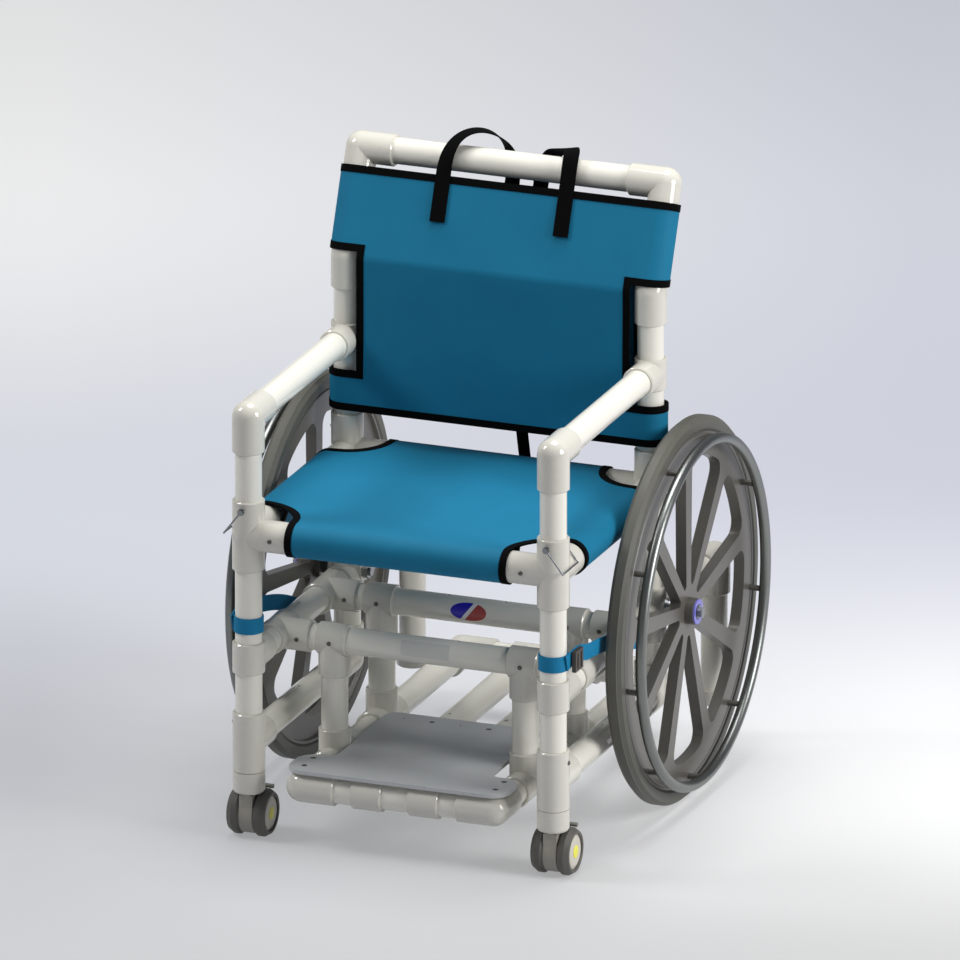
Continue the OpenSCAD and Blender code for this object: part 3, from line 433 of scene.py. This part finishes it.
def hemTape(name, points, place, tape, closed=False):
    # binding along an edge of the flat pattern, carried to its place with the cloth
    normals = pathFrames(points, closed)
    if closed:
        points = points + points[:1]
        normals = normals + normals[:1]
    rows = len(points) - 1
    length = sum(math.dist(points[i], points[i + 1]) for i in range(rows))

    def onEdge(across, along):
        row = max(0, min(rows, round((along / length + 0.5) * rows)))
        reach = across + tape["width"] / 2 - tape["over"]
        at, inward = points[row], normals[row]
        return place(at[0] + inward.x * reach, at[1] + inward.y * reach)

    piece = clothGrid(
        name, (tape["width"], length), (tape["columns"], rows), onEdge, None,
        tape["thickness"], bindingTape,
    )[0]
    return piece


def fill(points, step):
    # a polyline with points every step
    result = []
    for a, b in zip(points, points[1:]):
        count = max(1, round(math.dist(a, b) / step))
        result += [tuple(a[k] + (b[k] - a[k]) * i / count for k in range(len(a))) for i in range(count)]
    return result + [tuple(points[-1])]


# over is how far the tape stands past the cloth's edge
tapeOnHem = {"width": 0.0115, "over": 0.0012, "thickness": 0.0034, "columns": 4}

# seat sling: one cross-shaped cloth whose four flaps turn round the seat rails
seat = {
    "half": (chair["postX"], 0.21),  # from the middle to the rails' axes, across and along
    "sleeve": 0.0266,  # radius at which the cloth turns round a rail
    "turn": math.radians(250),
    "tail": 0.036,  # what is left of a flap beyond its turn
    "cut": 0.070,  # radius of the corner cuts
    "slack": 0.001,  # a cell whose middle is this near a cut goes too
    "sag": 0.0045,
    "sagEdge": 0.015,  # the sag starts this far inside the rails
    "sagShape": 0.8,
    # each ripple's height, then its radians a metre and start across and along, or its radians alone
    "crossRipple": (0.0006, 31, 1.3, 23, 0.4),
    "slantRipple": (0.0005, 47),
    "thickness": 0.0016,
    "cell": 0.006,
    "arcSteps": 16,
    "tapeStep": 0.004,
}
seatMiddle = Vector((0, (chair["frontY"] + chair["backY"]) / 2, chair["seatZ"]))
seatFlap = seat["sleeve"] * seat["turn"] + seat["tail"]


def overRail(distance, half):
    # (distance from the middle, height) of a point that is this far along the cloth
    r = seat["sleeve"]
    side = -1 if distance < 0 else 1
    past = abs(distance) - half
    if past <= 0:
        return distance, r
    turn = min(past / r, seat["turn"])
    out, high = half + r * math.sin(turn), r * math.cos(turn)
    rest = past - r * turn
    return side * (out + rest * math.cos(turn)), high - rest * math.sin(turn)


def seatPlace(a, b):
    x, highX = overRail(a, seat["half"][0])
    y, highY = overRail(b, seat["half"][1])
    inX = max(0, 1 - (a / (seat["half"][0] - seat["sagEdge"])) ** 2)
    inY = max(0, 1 - (b / (seat["half"][1] - seat["sagEdge"])) ** 2)
    height, rateX, startX, rateY, startY = seat["crossRipple"]
    ripple = height * math.sin(a * rateX + startX) * math.sin(b * rateY + startY)
    ripple += seat["slantRipple"][0] * math.sin((a + b) * seat["slantRipple"][1])
    sag = (seat["sag"] + ripple) * (inX * inY) ** seat["sagShape"]
    return seatMiddle + Vector((x, y, highX + highY - seat["sleeve"] - sag))


def seatKeep(a, b):
    overX, overY = seat["half"][0] - abs(a), seat["half"][1] - abs(b)
    if overX < 0 or overY < 0:
        return max(overX, overY) > seat["cut"] + seat["slack"]
    return math.hypot(overX, overY) > seat["cut"] + seat["slack"]


seatFlat = (2 * (seat["half"][0] + seatFlap), 2 * (seat["half"][1] + seatFlap))
seatCells = (round(seatFlat[0] / seat["cell"]), round(seatFlat[1] / seat["cell"]))
seatCloth, seatArea = clothGrid(
    "seat_cloth", seatFlat, seatCells, seatPlace, seatKeep, seat["thickness"], slingCloth
)
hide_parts("seat_sling")

seatTapes = []
halfX, halfY = seat["half"]
cutX, cutY = halfX - seat["cut"], halfY - seat["cut"]
corner = [(halfX + seatFlap, cutY), (halfX, cutY)]
for i in range(1, seat["arcSteps"]):
    turn = math.pi / 2 * i / seat["arcSteps"]
    corner.append((halfX - seat["cut"] * math.sin(turn), halfY - seat["cut"] * math.cos(turn)))
corner += [(cutX, halfY), (cutX, halfY + seatFlap)]
for sx in (-1, 1):
    for sy in (-1, 1):
        path = [(sx * a, sy * b) for a, b in fill(corner, seat["tapeStep"])]
        if sx * sy < 0:
            path.reverse()
        seatTapes.append(hemTape("seat_binding_%d" % (len(seatTapes) + 1), path, seatPlace, tapeOnHem))
print("seat cloth", round(seatArea, 3), "m2")

# back sling: a flat tube round both rear posts, bent at the recline and notched for the arms
back = {
    "low": 0.574,  # height of the low edge
    "bandTop": 0.636,  # height of the notches' low edge
    "top": 0.138,  # of the top edge, along the recline from the bend
    "half": chair["postX"],
    "sleeve": 0.0266,  # radius at which the cloth turns round a post
    "notchX": 0.2250,  # from the middle to the notches
    "rise": 0.0114,  # of the notches' upper edge, from the bend
    "thickness": 0.0016,
    "cell": 0.006,
    "crown": 0.0030,
    "crownEase": 6,
    # height of the ripple, its radians a metre round the tube, and its radians and start up it
    "ripple": (0.0005, 26, 37, 0.7),
    "slack": 0.001,
    "hemStep": 0.006,
    "notchStep": 0.005,
}
backAround = 4 * back["half"] + 2 * math.pi * back["sleeve"]
straight = chair["bendZ"] - back["low"]
backHigh = straight + back["top"]


def roundPosts(c):
    # for a length round the tube from the rear middle: x, distance in front of the posts' axis,
    # and how far inside the flat panel
    r, half = back["sleeve"], back["half"]
    c = c % backAround
    if c <= half:
        return -c, -r, 1 - c / half
    c -= half
    if c <= math.pi * r:
        return -half - r * math.sin(c / r), -r * math.cos(c / r), 0
    c -= math.pi * r
    if c <= 2 * half:
        return c - half, r, 1 - abs(c - half) / half
    c -= 2 * half
    if c <= math.pi * r:
        return half + r * math.sin(c / r), r * math.cos(c / r), 0
    c -= math.pi * r
    return half - c, -r, c / half


def backPlace(a, b):
    x, out, inside = roundPosts(a + backAround / 2)
    high = b + backHigh / 2
    ease = min(1, inside * back["crownEase"])
    height, rateAround, rateUp, startUp = back["ripple"]
    ripple = height * math.sin(a * rateAround) * math.sin(b * rateUp + startUp)
    bulge = math.sin(math.pi * min(1, max(0, high / backHigh)))
    crown = (-1 if out > 0 else 1) * back["crown"] * bulge
    out += ease * (crown + ripple)
    lean = chair["recline"]
    half = math.tan(lean / 2)
    if high < straight:
        z = back["low"] + high * (straight + out * half) / straight
        return Vector((x, chair["backY"] - out, z))
    s = -out * half + (high - straight) * (back["top"] + out * half) / back["top"]
    y = chair["backY"] + s * math.sin(lean) - out * math.cos(lean)
    return Vector((x, y, chair["bendZ"] + s * math.cos(lean) + out * math.sin(lean)))


def lengthRound(x, front):
    # length round the tube of the point at x on the front or the rear layer
    if front:
        return back["half"] + math.pi * back["sleeve"] + x + back["half"] - backAround / 2
    return (-x if x <= 0 else backAround - x) - backAround / 2


notch = (back["bandTop"] - back["low"] - backHigh / 2, straight + back["rise"] - backHigh / 2)
gaps = [
    (lengthRound(-back["notchX"], False), lengthRound(-back["notchX"], True)),
    (lengthRound(back["notchX"], True), lengthRound(back["notchX"], False)),
]


def backKeep(a, b):
    slack = back["slack"]
    if not notch[0] - slack < b < notch[1] + slack:
        return True
    return not any(low - slack < a < high + slack for low, high in gaps)


backCells = (round(backAround / back["cell"]), round(backHigh / back["cell"]))
backCloth, backArea = clothGrid(
    "back_cloth", (backAround, backHigh), backCells, backPlace, backKeep, back["thickness"], slingCloth
)
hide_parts("back_sling")
hemEdge = backHigh / 2
for name, level, sign in (("back_binding_top", hemEdge, -1), ("back_binding_low", -hemEdge, 1)):
    path = fill([(-sign * backAround / 2, level), (sign * backAround / 2, level)], back["hemStep"])
    hemTape(name, path, backPlace, tapeOnHem)
for index, (low, high) in enumerate(gaps):
    box = [(low, notch[0]), (low, notch[1]), (high, notch[1]), (high, notch[0]), (low, notch[0])]
    path = fill(box, back["notchStep"])[:-1]
    hemTape("back_binding_side_%d" % (index + 1), path, backPlace, tapeOnHem, closed=True)
print("back cloth", round(backArea, 3), "m2")


webColumns = 8


def webStrap(name, points, across, width, thickness, material, replaced=()):
    # flat webbing along points, each with its own direction across
    rows = len(points) - 1
    length = sum((points[i + 1] - points[i]).length for i in range(rows))

    def onStrap(u, v):
        row = max(0, min(rows, round((v / length + 0.5) * rows)))
        return points[row] + across[row] * u

    piece = clothGrid(name, (width, length), (webColumns, rows), onStrap, None, thickness, material)[0]
    if replaced:
        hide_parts(*replaced)
    return piece, length


def onBack(x, out, s):
    # a point of the reclined back: out is in front of the posts' axis, s is along it from the bend
    lean = chair["recline"]
    return Vector((
        x,
        chair["backY"] - out * math.cos(lean) + s * math.sin(lean),
        chair["bendZ"] + out * math.sin(lean) + s * math.cos(lean),
    ))


# carry handles: webbing sewn to the front, arched over the push bar and sewn again behind
handle = {
    "out": 0.102,  # from the middle to the front foot
    "foot": 0.072,  # sewn length below the top edge
    "lift": 0.0287,  # from the posts' axis to the webbing
    "swell": 0.008,  # what the arch adds to that on its way over
    "archFoot": 0.004,  # the arch starts this far below the top edge
    "archShape": 0.75,
    "step": 0.006,  # spacing of the rows in the sewn stretches
    "frontRows": 11,
    "rearRows": 8,
    "width": 0.0245,
    "thickness": 0.0022,
    "steps": 48,
}
handleShapes = [
    # name, side, rear foot, height of the arch, twist, tilt, how late it leans in
    ("handle_left", -1, 0.009, 0.083, 50, 0.3, 1.0),
    ("handle_right", 1, 0.038, 0.071, 10, 0.2, 2.0),
]
for name, side, rear, rise, twist, tilt, late in handleShapes:
    lift = handle["lift"]
    low, archFoot = back["top"] - handle["foot"], back["top"] - handle["archFoot"]
    spots = [(side * handle["out"], lift, low + handle["step"] * i) for i in range(handle["frontRows"])]
    leans = [(0.0, 0.0)] * len(spots)
    for i in range(handle["steps"] + 1):
        turn = math.pi * i / handle["steps"]
        moved = ((1 - math.cos(turn)) / 2) ** late
        x = side * (handle["out"] + (rear - handle["out"]) * moved)
        depth = (lift + handle["swell"] * math.sin(turn)) * math.cos(turn)
        height = archFoot + rise * max(0, math.sin(turn)) ** (handle["archShape"] / late)
        spots.append((x, depth, height))
        leans.append((math.radians(twist) * math.sin(turn), tilt * math.sin(turn)))
    for i in range(1, handle["rearRows"] + 1):
        spots.append((side * rear, -lift, archFoot - handle["step"] * i))
        leans.append((0.0, 0.0))
    points = [onBack(*spot) for spot in spots]
    wide = []
    for i, (lean, up) in enumerate(leans):
        ahead = (points[min(i + 1, len(points) - 1)] - points[max(i - 1, 0)]).normalized()
        flatWay = onBack(side * math.cos(lean), -math.sin(lean), up) - onBack(0, 0, 0)
        wide.append((flatWay - ahead * flatWay.dot(ahead)).normalized())
    strap, length = webStrap(
        name, points, wide, handle["width"], handle["thickness"], blackWebbing,
        ("back_straps",) if side < 0 else (),  # one piece stands for the node of both
    )

# the loose end of the lacing hangs behind the seat, drifting to one side and turning as it goes
tail = {
    "x": 0.024,
    "drift": 0.016,
    "driftShape": 1.5,
    "behind": 0.0297,  # behind the rear posts' axis
    "wave": (0.0015, 5),  # height, and radians from end to end
    "turn": 0.6,
    "width": 0.0184,
    "thickness": 0.002,
    "top": 0.592,
    "low": 0.467,
    "steps": 24,
}
tailPoints, tailAcross = [], []
for i in range(tail["steps"] + 1):
    t = i / tail["steps"]
    tailPoints.append(Vector((
        tail["x"] + tail["drift"] * t ** tail["driftShape"],
        chair["backY"] + tail["behind"] + tail["wave"][0] * math.sin(t * tail["wave"][1]),
        tail["top"] + (tail["low"] - tail["top"]) * t,
    )))
    tailAcross.append(Vector((math.cos(t), math.sin(t) * tail["turn"], 0)).normalized())
tailStrap, length = webStrap(
    "lacing_tail", tailPoints, tailAcross, tail["width"], tail["thickness"],
    blackWebbing,
)

# blue straps: a band round each front post, and a loose end over it that hangs back outside the frame
strap = {
    "z": 0.350,
    "width": 0.025,
    "thickness": 0.002,
    "gap": 0.0003,
    "start": 0.008,  # the loose end starts this far in front of the post's axis
    "long": 0.300,  # and ends this far behind it
    "bow": 0.005,
    "bowRate": 3,
    "rise": 0.006,
    "riseRate": 4,
    "curl": 0.0016,
    "curlRate": 9,
    "twist": 0.18,
    "bandSteps": 48,
    "endSteps": 60,
}
strapR = chair["pipeR"] + strap["gap"] + strap["thickness"] / 2
for name, side, drop in (("post_strap_left", -1, 0.075), ("post_strap_right", 1, 0.062)):
    middle = Vector((side * chair["postX"], chair["frontY"], strap["z"]))
    points = []
    for i in range(strap["bandSteps"] + 1):
        turn = 2 * math.pi * i / strap["bandSteps"]
        points.append(middle + Vector((-strapR * math.cos(turn), strapR * math.sin(turn), 0)))
    band, length = webStrap(
        name, points, [Vector((0, 0, 1))] * len(points), strap["width"], strap["thickness"],
        blueWebbing, ("post_straps",) if side < 0 else (),
    )
    points = []
    start, last = strap["start"], strap["endSteps"]
    for i in range(last + 1):
        t = i / last
        out = strapR + strap["thickness"] + strap["gap"]
        out += strap["bow"] * math.sin(math.pi / 2 * min(1, strap["bowRate"] * t))
        out += strap["curl"] * math.sin(t * strap["curlRate"]) * t
        high = strap["rise"] * math.sin(math.pi * min(1, strap["riseRate"] * t)) - drop * t * t
        points.append(middle + Vector((side * out, -start + (strap["long"] + start) * t, high)))
    wide = []
    for i in range(last + 1):
        ahead = (points[min(i + 1, last)] - points[max(i - 1, 0)]).normalized()
        wide.append(Vector((strap["twist"] * side * (i / last) ** 2, -ahead.z, ahead.y)).normalized())
    loose, length = webStrap(
        name + "_end", points, wide, strap["width"], strap["thickness"], blueWebbing
    )
print("webbing done")

# yellow caps pressed into the middle of the caster discs: one is modelled and then copied
cap = {
    "radius": 0.0102,
    "proud": 0.0009,
    "edge": 0.0006,
    "sides": 48,
    "edgeSegments": 3,
    "smoothAngle": math.radians(35),
}
capSpots = []
for side in ("left", "right"):
    low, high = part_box("caster_%s_discs" % side)
    for x in (low[0], high[0]):
        capSpots.append((side, (x, (low[1] + high[1]) / 2, (low[2] + high[2]) / 2)))
bpy.ops.mesh.primitive_cylinder_add(
    vertices=cap["sides"], radius=cap["radius"], depth=2 * cap["proud"], rotation=(0, math.pi / 2, 0)
)
caps = [bpy.context.active_object]
bpy.ops.object.mode_set(mode="EDIT")
bpy.ops.mesh.bevel(offset=cap["edge"], segments=cap["edgeSegments"], affect="EDGES")
bpy.ops.object.mode_set(mode="OBJECT")
bpy.ops.object.shade_smooth_by_angle(angle=cap["smoothAngle"])
caps[0].data.materials.append(capYellow)
while len(caps) < len(capSpots):
    bpy.ops.object.duplicate(linked=False)
    caps.append(bpy.context.active_object)
for index, (capPiece, (side, spot)) in enumerate(zip(caps, capSpots)):
    capPiece.name = capPiece.data.name = "caster_cap_%d" % (index + 1)
    bpy.ops.object.select_all(action="DESELECT")
    capPiece.select_set(True)
    bpy.context.view_layer.objects.active = capPiece
    capPiece.location = spot
    bpy.ops.object.transform_apply(location=True, rotation=True, scale=True)
    capPiece.select_set(False)
    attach(capPiece, "caster_wheels_" + side)


# thin films stuck round the front of the two cross bars: a bare label and an oval badge
def filmOnBar(name, film, material):
    columns, rows = film["cells"]
    bpy.ops.mesh.primitive_grid_add(x_subdivisions=columns, y_subdivisions=rows, size=2)
    piece = bpy.context.active_object
    piece.name = piece.data.name = name
    for vertex in piece.data.vertices:
        a, b = vertex.co.x, vertex.co.y
        if film["oval"]:
            a, b = a * math.sqrt(1 - b * b / 2), b * math.sqrt(1 - a * a / 2)
        turn = film["lift"] + b * film["half"][1] / film["radius"]
        out = film["radius"] + film["thickness"] / 2
        barY, barZ = film["bar"]
        vertex.co = (
            film["x"] + a * film["half"][0], barY - out * math.cos(turn), barZ + out * math.sin(turn)
        )
    thicken(piece, film["thickness"])
    piece.data.materials.append(material)
    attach(piece, "frame")
    piece.select_set(False)


low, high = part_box("cross_bars")
barZ = (low[2] + high[2]) / 2
# half is half the width and height, and lift is the turn of the film's middle above the bar's front
label = {
    "x": -0.001, "half": (0.040, 0.0125), "lift": 0.34, "thickness": 0.0003, "oval": False,
    "radius": chair["pipeR"], "bar": (low[1] + chair["pipeR"], barZ), "cells": (30, 18),
}
badge = {
    "x": -0.0065, "half": (0.0295, 0.0150), "lift": 0.19, "thickness": 0.0003, "oval": True,
    "radius": chair["pipeR"], "bar": (high[1] - chair["pipeR"], barZ), "cells": (30, 18),
}
filmOnBar("blank_label", label, labelFilm)
filmOnBar("oval_badge", badge, badgeFilm)
print("caps and films done")

# stage: a painted floor that runs on out of sight. The camera and reflections see it paler than the
# lamps alone would make it, which is painted light, and it keeps the shadow. Its colour sweeps darker
# and paler across it, which is painted light and shade
stage = {
    "span": 30,
    "paint": "#b9bac0",
    "roughness": 0.5,
    "glow": 0.5,  # share of the seen floor that gives its own light
    # the sweep of painted light and shade turns with the photograph's side angle
    "turn": math.radians(-21.05),
    "across": (-0.7, 0.7),
    "depth": (-0.81, 3.77),
    "leftPaintedLighting": (
        (0.0, "#c6c7c9"), (0.1, "#c2c3c6"), (0.2, "#babcc1"), (0.48, "#d0d3da"), (0.85, "#fafafa"),
    ),
    "rightPaintedLighting": ((0.0, "#cacaca"), (0.17, "#f4f4f4"), (0.5, "#cbcdd8"), (0.85, "#dcdfe8")),
    "worldColor": "#e8ebf2",
    "worldStrength": 0.24,
}
bpy.ops.mesh.primitive_plane_add(size=stage["span"], location=(0, 0, 0))
floor = bpy.context.active_object
floor.name = "floor"
floorPaint, tree, shader = newMaterial(
    "pale studio floor", stage["paint"], stage["roughness"], Specular_IOR_Level=0.2
)
place = addNode(tree, "ShaderNodeTexCoord", {})
turned = addNode(
    tree, "ShaderNodeMapping", {"Rotation": (0, 0, stage["turn"])}, (place.outputs["Object"], "Vector")
)
split = addNode(tree, "ShaderNodeSeparateXYZ", {}, (turned.outputs[0], "Vector"))
ranges = []
for axis, (near, far) in (("X", stage["across"]), ("Y", stage["depth"])):
    limits = {"From Min": near, "From Max": far}
    ranges.append(addNode(tree, "ShaderNodeMapRange", limits, (split.outputs[axis], "Value")))
# painted light and shade: the floor's colour, darker and paler in sweeps, feeds both its lit and its
# glowing part
paintedFloorLighting = addNode(tree, "ShaderNodeMix", {"data_type": "RGBA"}, (ranges[0].outputs[0], "Factor"))
for stops, socket in ((stage["leftPaintedLighting"], mixA), (stage["rightPaintedLighting"], mixB)):
    sweep = addNode(
        tree, "ShaderNodeValToRGB", {}, (ranges[1].outputs[0], "Fac"), into=paintedFloorLighting.inputs[socket]
    )
    sweep.color_ramp.interpolation = "EASE"
    sweep.color_ramp.elements[0].color = hexToLinear(stops[0][1])
    sweep.color_ramp.elements[1].position = stops[-1][0]
    sweep.color_ramp.elements[1].color = hexToLinear(stops[-1][1])
    for spot, color in stops[1:-1]:
        sweep.color_ramp.elements.new(spot).color = hexToLinear(color)
shown = addNode(tree, "ShaderNodeBsdfDiffuse", {}, (paintedFloorLighting.outputs[mixOut], "Color"))
glow = addNode(tree, "ShaderNodeEmission", {"Strength": 1.0}, (paintedFloorLighting.outputs[mixOut], "Color"))
paler = addNode(
    tree, "ShaderNodeMixShader", {"Fac": stage["glow"]}, (shown.outputs[0], 1), (glow.outputs[0], 2)
)
ray = addNode(tree, "ShaderNodeLightPath", {})
seen = addNode(
    tree, "ShaderNodeMath", {"operation": "MAXIMUM"},
    (ray.outputs["Is Camera Ray"], 0), (ray.outputs["Is Glossy Ray"], 1),
)
addNode(
    tree, "ShaderNodeMixShader", {},
    (seen.outputs[0], 0), (shader.outputs[0], 1), (paler.outputs[0], 2),
    into=tree.nodes["Material Output"].inputs["Surface"],
)
floor.data.materials.append(floorPaint)

world = bpy.data.worlds.new("studio")
bpy.context.scene.world = world
world.use_nodes = True
sky = world.node_tree.nodes["Background"]
sky.inputs["Color"].default_value = hexToLinear(stage["worldColor"])
sky.inputs["Strength"].default_value = stage["worldStrength"]

lamps = [
    # name, place, aim, size, power
    ("key", (-3.0, -1.2, 3.4), (0, 0, 0.6), 1.3, 78),
    ("fill", (3.6, -0.4, 1.9), (0, 0, 0.5), 1.6, 105),
    ("top", (0.2, 0.6, 4.2), (0, 0, 0.4), 2.0, 122),
]
for name, spot, aim, size, power in lamps:
    bpy.ops.object.light_add(type="AREA", location=spot)
    lamp = bpy.context.active_object
    lamp.name = name
    lamp.data.size = size
    lamp.data.energy = power
    lamp.rotation_euler = (Vector(aim) - Vector(spot)).to_track_quat("-Z", "Y").to_euler()
print("floor and lamps done")

# camera: far off with a long lens, because the photograph has almost no perspective
shot = {
    "target": Vector((0.1080, -0.2855, 0.6077)),
    "ahead": Vector((-0.3400, 0.8834, -0.3226)).normalized(),
    "distance": 60.0,
    "lens": 1462.5,
    "sensor": 36,
    "clipEnd": 150,
}
camera = bpy.data.objects.new("camera", bpy.data.cameras.new("camera"))
bpy.context.collection.objects.link(camera)
camera.data.sensor_width = shot["sensor"]
camera.data.lens = shot["lens"]
camera.data.clip_end = shot["clipEnd"]
camera.location = shot["target"] - shot["ahead"] * shot["distance"]
camera.rotation_euler = shot["ahead"].to_track_quat("-Z", "Y").to_euler()
bpy.context.scene.camera = camera
bpy.context.scene.view_settings.view_transform = "Standard"

print("scene done")
